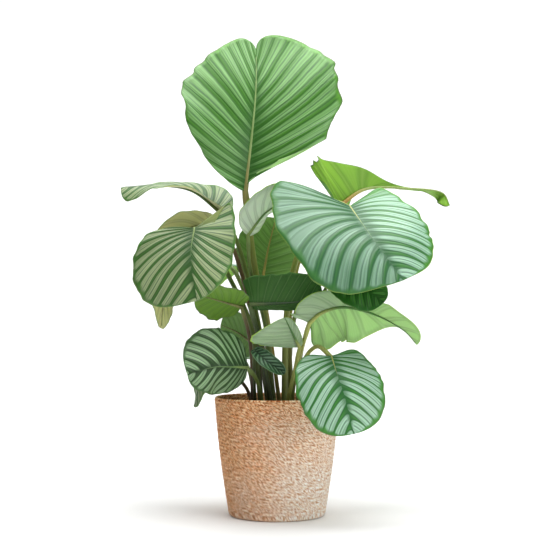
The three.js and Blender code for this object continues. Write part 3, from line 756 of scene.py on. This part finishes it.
# %% Leaf colours
# For each look: the pale bands' share of the blade, how pointed a band starts at the midrib (its
# width is reach to this power), the width of the plain green margin in millimetres, and the colours
# of a pale band, a green stripe, the green near the midrib, near the margin, and the thin edge.
LOOKS = {
    "fresh": (0.66, 0.3, 0, (112, 156, 92), (60, 114, 34), (44, 92, 32), (92, 150, 52), (104, 122, 84)),
    "cool": (0.8, 0.36, 7, (152, 188, 162), (62, 118, 64), (44, 92, 56), (84, 152, 54), (160, 198, 84)),
    "silver": (0.72, 0.32, 2, (148, 162, 120), (64, 102, 46), (46, 80, 36), (78, 128, 54), (124, 154, 84)),
    "mint": (0.82, 0.26, 4, (166, 200, 176), (62, 130, 56), (38, 96, 48), (74, 144, 50), (92, 128, 66)),
    "deep": (0.6, 0.5, 6, (62, 116, 44), (28, 80, 20), (24, 70, 18), (42, 104, 28), (76, 122, 52)),
    "shaded": (0.7, 0.36, 2, (134, 166, 122), (44, 72, 36), (34, 58, 28), (64, 104, 50), (92, 120, 74)),
    "young": (0.5, 0.2, 1, (92, 128, 94), (22, 54, 30), (18, 44, 24), (40, 84, 44), (96, 130, 92)),
}
UNDERSIDES = {  # skin and veins
    "leafy": [(174, 222, 136), (196, 234, 160)],
    "bright": [(136, 186, 60), (160, 194, 84)],
    "olive": [(126, 140, 78), (152, 162, 104)],
    "khaki": [(216, 216, 142), (232, 232, 172)],
    "moss": [(108, 150, 48), (134, 168, 78)],
    "pale": [(226, 240, 216), (240, 248, 230)],
    "grey": [(160, 186, 146), (190, 208, 172)],
    "teal": [(66, 112, 46), (128, 166, 104)],
    "dark": [(112, 156, 74), (134, 170, 92)],
}
STALKS = {  # at the foot, half way, at the blade's base, and further on as the midrib
    "ochre": [(104, 112, 50), (142, 146, 72), (158, 146, 86), (136, 164, 98)],
    "olive": [(72, 84, 38), (104, 122, 56), (128, 150, 84), (88, 124, 66)],
    "yellow": [(104, 112, 50), (158, 164, 82), (176, 182, 98), (74, 122, 60)],
    "orange": [(96, 98, 46), (146, 144, 58), (184, 144, 56), (150, 172, 92)],
    "mustard": [(98, 90, 42), (160, 136, 54), (170, 154, 80), (150, 140, 70)],
    "brown": [(70, 52, 38), (108, 84, 58), (136, 138, 78), (120, 124, 70)],
    "dark": [(48, 56, 30), (68, 84, 42), (94, 112, 60), (52, 82, 42)],
}


def blade_finish(name, leaf):
    """Bands along the side veins above, skin with faint bands and fine veins below."""
    finish = Finish(name)
    cover, taper, plain_width, *shades = LOOKS[leaf["look"]]
    pale, green, deep, margin, edge = (colour(*shade) for shade in shades)
    kinds = (leaf["under"].split() * 3)[:3]  # for the left half, the right half and the tip
    width = (leaf["left"]["width"] + leaf["right"]["width"]) / 2

    reach = finish.attribute("reach")
    out = abs(reach)
    right = reach > 0
    upper = finish.attribute("upper")
    clouds = finish.noise(26)
    patches = finish.noise(9)
    vein = finish.attribute("vein")
    # the bands are counted from base to tip, shifted on the right half and a little uneven
    step = vein**BAND_CROWD * leaf["bands"] + right * 0.45 + (clouds - 0.5) * 0.14
    number = step.floor()
    away = abs(step - number - 0.5) * 2  # 0 in the middle of a band, 1 between two bands
    luck = finish.chance(number, right, leaf["bands"])

    ends = out + away * 0.05 + (luck - 0.5) * 0.04
    to_margin = ends.smooth(1 - (plain_width + 3) / width, 1.03 - plain_width * 0.4 / width)
    full = (out + 0.002) ** taper * (cover + (luck - 0.5) * 0.2)  # the away where the pale part ends
    plain_here = vein.smooth(leaf["plain"], leaf["plain"] * 0.5) * (1 - right)
    band = away.smooth(full + 0.14, full - 0.14) * (1 - to_margin) * (1 - plain_here * 0.85)
    line = (luck > 0.15) * out.smooth(0.1, 0.3) * out.smooth(0.99, 0.86)  # most bands have a dark vein
    # painted highlight: a thin lighter line along both edges of each pale band
    rim = abs(away - full + 0.08).smooth(0.08, 0.0) * band
    light_rim = tuple(min(part * 1.5, 1) for part in pale)
    threads = finish.chance((step * 13).floor(), right)
    streaks = step.wave(7)
    beside = abs(away - full - 0.12).smooth(0.16, 0.0)  # dark lines on both sides of a band
    green_here = finish.mix(beside * 0.8, finish.mix(away.smooth(0.6, 1.0) * 0.3, green, margin), deep)
    green_here = finish.mix(out.smooth(0.34, 0.02) * 0.7, green_here, deep)
    pale_here = finish.mix(threads.smooth(0.5, 0.0) * 0.3 + out.smooth(0.5, 0.95) * 0.1, pale, green)
    flank = abs(away - 0.24).smooth(0.12, 0.02) * line  # light beside the dark vein of a band
    # the painted highlight on band edges, and pale threads inside the bands
    pale_here = finish.mix(rim * 0.5 + threads.smooth(0.7, 0.9) * 0.5, pale_here, light_rim)
    pale_here = finish.mix(flank * 0.6, pale_here, light_rim)
    strength = ((patches - 0.3).smooth(-0.1, 0.3) * 0.3 + 0.7) * (out.smooth(0.0, 0.22) * 0.7 + 0.3)
    green_here = finish.mix(plain_here * 0.7, green_here, margin)
    above = finish.mix(band * strength, green_here, pale_here)
    dark_vein = finish.mix(0.3, deep, colour(92, 100, 116))
    above = finish.mix(line * away.smooth(0.12, 0.02) * 0.7, above, dark_vein)
    above = finish.mix(to_margin * 0.8, above, margin)
    above = finish.mix(out.smooth(1 - 1.6 / width, 1 - 0.7 / width), above, edge)
    # painted shade: dull darkens the right half, as if it lay in shade
    above = finish.mix(right * leaf["dull"], above, deep)

    undersides = [[colour(*shade) for shade in UNDERSIDES[kind]] for kind in kinds]
    skin, veins = (
        finish.mix(vein.smooth(0.45, 0.8), finish.mix(right, on_left, on_right), at_tip)
        for on_left, on_right, at_tip in zip(*undersides)
    )
    below = finish.mix((1 - band) * 0.26, skin, deep)
    below = finish.mix(away.smooth(0.84, 1.0) * 0.4 + streaks * 0.14, below, veins)
    below = finish.mix(out.smooth(1 - 1.8 / width, 1 - 0.6 / width), below, edge)
    base = finish.mix(upper, below, above)
    base = finish.mix((patches - 0.4).smooth(0.0, 0.35) * 0.22, base, deep)
    finish.set(base_color=base, roughness=0.56 - upper * 0.16)
    finish.set(subsurface_weight=0.2, subsurface_radius=(0.5, 1.0, 0.25), subsurface_scale=0.001)
    finish.feed(finish.surface.inputs["Specular IOR Level"], 0.3)
    finish.bump(streaks * 0.3 + away.smooth(0.75, 1.0), 0.3)
    return finish.material


def stalk_finish(name, leaf):
    """Four colours from foot to tip, with long thin streaks and a few darker flecks."""
    finish = Finish(name)
    foot, half, top, midrib = (colour(*shade) for shade in STALKS[leaf["stalk_look"]])
    rise = finish.attribute("rise")
    stretched = finish.node("Mapping", inputs={"Vector": finish.place(), "Scale": (1, 1, 0.06)})
    streaks = finish.noise(420, vector=stretched)
    flecks = finish.noise(160).smooth(0.66, 0.74)
    base = finish.mix(rise.smooth(0.0, 0.6), foot, half)
    base = finish.mix(rise.smooth(0.75, 1.0), base, top)
    base = finish.mix(rise.smooth(1.05, 1.35), base, midrib)
    base = finish.mix(streaks.smooth(0.35, 0.75) * 0.35, base, foot)
    base = finish.mix(flecks * 0.4 * rise.smooth(1.0, 0.8), base, colour(70, 50, 40))
    finish.set(base_color=base, roughness=0.42 + streaks * 0.1)
    finish.set(subsurface_weight=0.15, subsurface_radius=(0.6, 1.0, 0.3), subsurface_scale=0.001)
    finish.bump(streaks, 0.15)
    return finish.material


print("blade looks:", len(LOOKS), "undersides:", len(UNDERSIDES), "stalks:", len(STALKS))

# %% [markdown]
# ## Putting the leaves together
#
# Blade and stalk go into one object, as they are one piece on the plant, each with its own
# material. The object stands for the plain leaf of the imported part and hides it.

# %% Build every leaf
def make_leaf(name, leaf, seed):
    """One leaf: the blade's points first, then the stalk's, in one mesh."""
    way = Way(leaf["rib"])
    blade_points, blade_faces, numbers = blade_parts(leaf, way, seed)
    stalk_points, stalk_faces, rise = stalk_parts(leaf, way)
    split = len(blade_points)
    points = np.vstack([blade_points, stalk_points]) * MM
    faces = blade_faces + [group + split for group in stalk_faces]
    finishes = [blade_finish(name + "_blade", leaf), stalk_finish(name + "_stalk", leaf)]
    piece = make_mesh(name, points, faces, finishes)
    two_materials(piece, sum(map(len, blade_faces)))
    rows = {key: np.append(values, 0 * rise) for key, values in numbers.items()}
    rows["rise"] = np.append(np.zeros(split), rise)
    for key, values in rows.items():
        layer = piece.data.attributes.new(key, "FLOAT", "POINT")
        layer.data.foreach_set("value", values.astype(np.float32))
    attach(piece, "root")
    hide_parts("leaf_" + name)
    return piece


for seed, (name, leaf) in enumerate(LEAVES.items()):
    piece = make_leaf(name, leaf, seed)
print("leaves built, faces on the last:", len(piece.data.polygons))

# %% [markdown]
# ## The basket
#
# The maker twists dry seagrass into a cord of about 5 mm, winds it round a form and sews each turn
# to the last. A wall like that could be a helix of real cord, but its strands would take millions
# of faces. Here the turns are real relief, turned round the axis like clay on a wheel, and the
# twist of the strands is drawn by the finish.

# %% Basket shape
HEIGHT, CORNER, WALL = 188, 9, 6
RIM_RADIUS, FOOT_RADIUS, BELLY = 100, 78, 2.5
TURNS = 36  # turns of cord from the corner's foot to the rim
UNDER_TURNS, INNER_TURNS = 14, 34
RELIEF = 0.4  # the groove between two turns is nearly this deep
CORNER_REACH = 5.4  # how far the rounded lower edge goes out
BASKET_COLUMNS = 180


def basket_radius(height):
    """A straight taper with a slight belly: foot + (rim - foot) s + belly sin(pi s)."""
    share = np.clip((height - CORNER) / (HEIGHT - CORNER), 0, 1)
    return FOOT_RADIUS + (RIM_RADIUS - FOOT_RADIUS) * share + BELLY * np.sin(np.pi * share)


def groove(turn):
    """How far the surface lies in from the crest of the cord: RELIEF * (1 - sqrt(1 - 0.96 x^2)),
    with x from -1 to 1 over one turn. 0.96 keeps the groove's sides from standing upright."""
    x = 2 * (turn - np.floor(turn)) - 1
    return RELIEF * (1 - np.sqrt(1 - 0.96 * x**2))


def basket_profile():
    """Radius, height and turn number from the middle of the underside, up the outside, over the
    rim and down the inside to the middle of the floor."""
    # each part of the profile has its own number of rings
    under = np.linspace(0, 1, 85)[1:]
    corner = np.linspace(0, 1, 14)[1:-1]
    quarter = corner * np.pi / 2
    side = np.linspace(0, 1, 6 * (TURNS - 2) + 1)
    rim = np.linspace(0, np.pi, 12)[1:-1]
    inside = np.linspace(1, 0, 70)
    floor = np.linspace(1, 0, 16)[1:-1]

    flat = FOOT_RADIUS - CORNER_REACH
    rim_height = HEIGHT - WALL / 2
    raised = CORNER * (1 - np.cos(quarter)) + groove(UNDER_TURNS)
    outer = CORNER + (rim_height - CORNER) * side
    inner = WALL + (rim_height - WALL) * inside
    bore = basket_radius(inner) - WALL - groove(INNER_TURNS * inside)
    rim_radius = RIM_RADIUS - WALL / 2 + WALL / 2 * np.cos(rim) - RELIEF / 2
    pieces = [  # radius, height and turn number of each part
        (flat * under, groove(UNDER_TURNS * under), UNDER_TURNS * under),
        (flat + CORNER_REACH * np.sin(quarter), raised, UNDER_TURNS + corner),
        (basket_radius(outer) - groove((TURNS - 2) * side), outer, 15 + (TURNS - 2) * side),
        (rim_radius, rim_height + WALL / 2 * np.sin(rim), 49.5 + 0 * rim),
        (bore, inner, 50 + INNER_TURNS * inside),
        ((FOOT_RADIUS - WALL - 5) * floor, WALL + 0 * floor, 90 + 10 * floor),
    ]
    return [np.concatenate(column) for column in zip(*pieces)]


def turned(radius, height, sides, wobble=0.0):
    """A profile carried round the Z axis: (r cos t, r sin t, z). Its two ends are closed on the
    axis. wobble lets hand-made turns run a little unevenly."""
    angle = np.linspace(0, 2 * np.pi, sides, endpoint=False)[None, :]
    ring = np.arange(len(radius))[:, None]
    uneven = np.sin(3 * angle + 0.9 * ring) + 0.7 * np.sin(7 * angle - 0.37 * ring)
    wide = radius[:, None] + wobble * uneven
    tall = np.broadcast_to(height[:, None], wide.shape)
    points = np.stack([wide * np.cos(angle), wide * np.sin(angle), tall], -1).reshape(-1, 3)
    points = np.vstack([points, [[0, 0, height[0]], [0, 0, height[-1]]]])
    return points, tube_faces(len(radius), sides)


print("basket wall radius at half height:", round(float(basket_radius(HEIGHT / 2)), 1), "mm")

# %% Basket finish
STRANDS = 132  # strands of twist in one turn of cord
SLANT = 1.5  # how many strands a strand leans across one turn


def cord_finish():
    """Strands that lean across each turn of cord, each with its own shade of dry grass, painted shade
    in the gaps between them and painted highlight on some, and painted light: paler towards the
    right and the bottom, warmer and darker towards the left and the top."""
    finish = Finish("seagrass_cord")
    on_cord = finish.node("UVMap", {"uv_map": "cord"})
    around = finish.part(on_cord, "X")
    turn = finish.part(on_cord, "Y")
    row = turn.floor()
    within = turn - row
    clouds = finish.noise(60, 3.0)
    lean = around * STRANDS + turn * SLANT + (clouds - 0.5) * 3 + finish.chance(row, 3, 1) * 0.8
    number = lean.floor()
    luck = finish.chance(number, row, 7)
    ridge = (lean - number).wave(1)
    swell = within.wave(1)
    across = finish.part(finish.place(), "X")
    height = finish.part(finish.place(), "Z")
    patches = finish.noise(14, 2.0)
    # painted light: the cord is paler towards the right and bottom, warmer and darker to the left and top
    painted_light_side = (across * 6 - height * 3.4 + patches).smooth(-0.5, 1.0)
    # warm and pale are shaded and lit copies of the cord's colour, for the painted light
    warm = finish.mix(luck, colour(255, 168, 104), colour(255, 198, 138))
    pale = finish.mix(luck, colour(255, 236, 206), colour(255, 250, 236))
    # shadow is painted shade and light a painted highlight, both following the painted light
    shadow = finish.mix(painted_light_side, colour(168, 92, 50), colour(206, 158, 118))
    light = finish.mix(painted_light_side, colour(255, 218, 172), colour(255, 255, 252))
    # painted shade in the gaps between strands, darker where two turns meet
    gap = ridge.smooth(0.7, 0.1) * (0.45 + swell.smooth(0.7, 0.1) * 0.45)
    along = finish.node("CombineXYZ", inputs={0: lean, 1: turn * 0.6})
    dashes = finish.noise(2.2, 1.0, along)  # painted shade and painted highlight in bits of single strands
    base = finish.mix(gap, finish.mix(painted_light_side, warm, pale), shadow)
    base = finish.mix(dashes.smooth(0.5, 0.36), base, shadow)
    base = finish.mix(dashes.smooth(0.5, 0.62), base, light)
    finish.set(base_color=base, roughness=0.8)
    finish.feed(finish.surface.inputs["Specular IOR Level"], 0.1)
    finish.bump(ridge.smooth(0.0, 0.7) * 0.8 + finish.noise(1400) * 0.3, 0.9)
    return finish.material


# %% Build the basket
def cord_map(piece, faces, turn, sides):
    """A UV map: across it the way round the basket from 0 to 1, up it the turn number. The last
    face of a ring ends at 1, not at 0."""
    corners = []
    for group in faces:
        ring, step = np.divmod(group, sides)
        closes = (step.min(1) == 0) & (step.max(1) == sides - 1)
        around = (step + np.where(closes[:, None] & (step == 0), sides, 0)) / sides
        corners.append(np.stack([around, turn[np.minimum(ring, len(turn) - 1)]], -1).reshape(-1, 2))
    layer = piece.data.uv_layers.new(name="cord")
    layer.data.foreach_set("uv", np.vstack(corners).ravel().astype(np.float32))


radius, height, turn = basket_profile()
points, faces = turned(radius, height, BASKET_COLUMNS, wobble=0.22)
basket = make_mesh("seagrass_basket", points * MM, faces, [cord_finish()])
cord_map(basket, faces, turn, BASKET_COLUMNS)
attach(basket, "root")
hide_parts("basket")
print("basket faces:", len(basket.data.polygons))

# %% [markdown]
# ## The nursery pot
#
# The black pot is plain moulded plastic. Its solid is right as it is, so it stays and only gets
# its finish: nearly black, slightly grained, with pale dust from the compost.

# %% Pot finish
def pot_finish():
    """Grained black plastic with a little dust."""
    finish = Finish("black_plastic")
    dust = finish.noise(90, 4.0).smooth(0.5, 0.8)
    finish.set(base_color=finish.mix(dust * 0.35, colour(30, 31, 32), colour(96, 84, 72)))
    finish.set(roughness=0.45 + dust * 0.3)
    finish.bump(finish.noise(2200), 0.06)
    return finish.material


plastic = pot_finish()
pot_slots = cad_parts["inner_pot"].material_slots
for slot in pot_slots:
    slot.material = plastic
print("pot slots:", len(pot_slots))

# %% [markdown]
# ## The soil
#
# Compost is a heap of dark crumbs with a few bits of white perlite. The ground itself is a lumpy
# disc as deep as the pot; the stalks run on inside it, out of sight. Crumbs on it are one small
# faceted stone, copied many times in one go with other sizes and turns. The draw is seeded, so
# every run gives the same ground.

# %% Ground
SOIL_BOTTOM = 8.2
SOIL_EDGE = 157  # height at the pot's wall
POT_FOOT, POT_RIM, POT_BOTTOM, LIP_BOTTOM = 63, 88.1, 6.3, 162.3  # two radii and two heights
SOIL_GAP = 2.3
GROUND_REACH, CRUMB_REACH = 82, 79  # radii


def soil_radius(height):
    """The inside of the pot, less its wall and a little air."""
    share = np.clip((height - POT_BOTTOM) / (LIP_BOTTOM - POT_BOTTOM), 0, 1)
    return POT_FOOT + (POT_RIM - POT_FOOT) * share - SOIL_GAP


def ground_height(x, y):
    """160 mm in the middle, 3 mm lower at the pot's wall, with wide and narrow lumps up to 1 mm."""
    away = np.hypot(x, y) / GROUND_REACH
    wide = np.sin(0.31 * x + 0.7 * np.sin(0.23 * y)) * np.sin(0.27 * y + 1.3)
    narrow = np.sin(0.9 * x) * np.sin(0.8 * y) * 0.5
    return SOIL_TOP - (SOIL_TOP - SOIL_EDGE) * away**3 + 0.6 * (wide + narrow)


side_height = np.linspace(SOIL_BOTTOM, SOIL_EDGE - 0.5, 12)
top_radius = soil_radius(SOIL_EDGE) * np.linspace(1, 0, 42)[1:-1]
profile_radius = np.concatenate([[20, 40], soil_radius(side_height), top_radius])
profile_height = np.concatenate([[SOIL_BOTTOM] * 2, side_height, SOIL_EDGE + 0 * top_radius])
soil_points, soil_faces = turned(profile_radius, profile_height, 96)
on_top = soil_points[:, 2] > SOIL_EDGE - 0.1
on_top[-1] = True
soil_points[on_top, 2] = ground_height(soil_points[on_top, 0], soil_points[on_top, 1])
print("ground points:", len(soil_points))

# %% Crumbs
def crumbs(count, small, large, seed):
    """Copies of a 12-cornered stone with random sizes, squashes and turns, lying on the ground.
    The stone's corners are (0, 1, g) and its turns, with g the golden ratio. Corners nearer than
    1.1 are neighbours."""
    random = np.random.default_rng(seed)
    g = (1 + math.sqrt(5)) / 2
    corners = np.array([[0, s, t * g] for s in (-1, 1) for t in (-1, 1)]) / math.hypot(1, g)
    stone = np.vstack([np.roll(corners, turn, axis=1) for turn in range(3)])
    sides = np.array([
        [a, b, c] for a in range(12) for b in range(a + 1, 12) for c in range(b + 1, 12)
        if max(np.linalg.norm(stone[[a, b, c]] - stone[[b, c, a]], axis=1)) < 1.1
    ])
    middle = stone[sides].mean(1)
    facing = np.cross(stone[sides[:, 1]] - stone[sides[:, 0]], stone[sides[:, 2]] - stone[sides[:, 0]])
    inward = np.sum(facing * middle, -1) < 0
    sides[inward] = sides[inward][:, ::-1]
    size = random.uniform(small, large, (count, 1, 1)) * random.uniform(0.6, 1.2, (count, 1, 3))
    axis = np.linalg.qr(random.normal(size=(count, 3, 3)))[0]
    axis *= np.sign(np.linalg.det(axis))[:, None, None]
    away = CRUMB_REACH * np.sqrt(random.random(count))
    angle = random.uniform(0, 2 * np.pi, count)
    x, y = away * np.cos(angle), away * np.sin(angle)
    centre = np.stack([x, y, ground_height(x, y) + 0.2 * size[:, 0, 0]], -1)
    points = (stone * size) @ axis + centre[:, None]
    faces = sides[None] + 12 * np.arange(count)[:, None, None]
    return points.reshape(-1, 3), faces.reshape(-1, 3)


dark_points, dark_faces = crumbs(count=1500, small=0.8, large=2.6, seed=5)
white_points, white_faces = crumbs(count=70, small=0.7, large=1.7, seed=9)
print("crumbs:", (len(dark_points) + len(white_points)) // 12)

# %% Soil finish
def soil_finish(name, dark, light):
    """Two shades of a crumb, broken up by fine noise."""
    finish = Finish(name)
    grain = finish.noise(700, 5.0)
    clumps = finish.noise(130)
    share = (grain + clumps * 0.5 - 0.25).smooth(0.3, 0.75)
    finish.set(base_color=finish.mix(share, colour(*dark), colour(*light)), roughness=0.95)
    finish.bump(grain, 0.8)
    return finish.material


split = len(soil_points)
split_white = split + len(dark_points)
soil_points = np.vstack([soil_points, dark_points, white_points])
soil_faces = soil_faces + [dark_faces + split, white_faces + split_white]
compost = soil_finish("compost", (38, 28, 22), (84, 62, 46))
perlite = soil_finish("perlite", (196, 190, 180), (238, 234, 226))
soil = make_mesh("compost_soil", soil_points * MM, soil_faces, [compost, perlite])
two_materials(soil, len(soil.data.polygons) - len(white_faces))
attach(soil, "root")
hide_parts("soil")
print("soil faces:", len(soil.data.polygons))
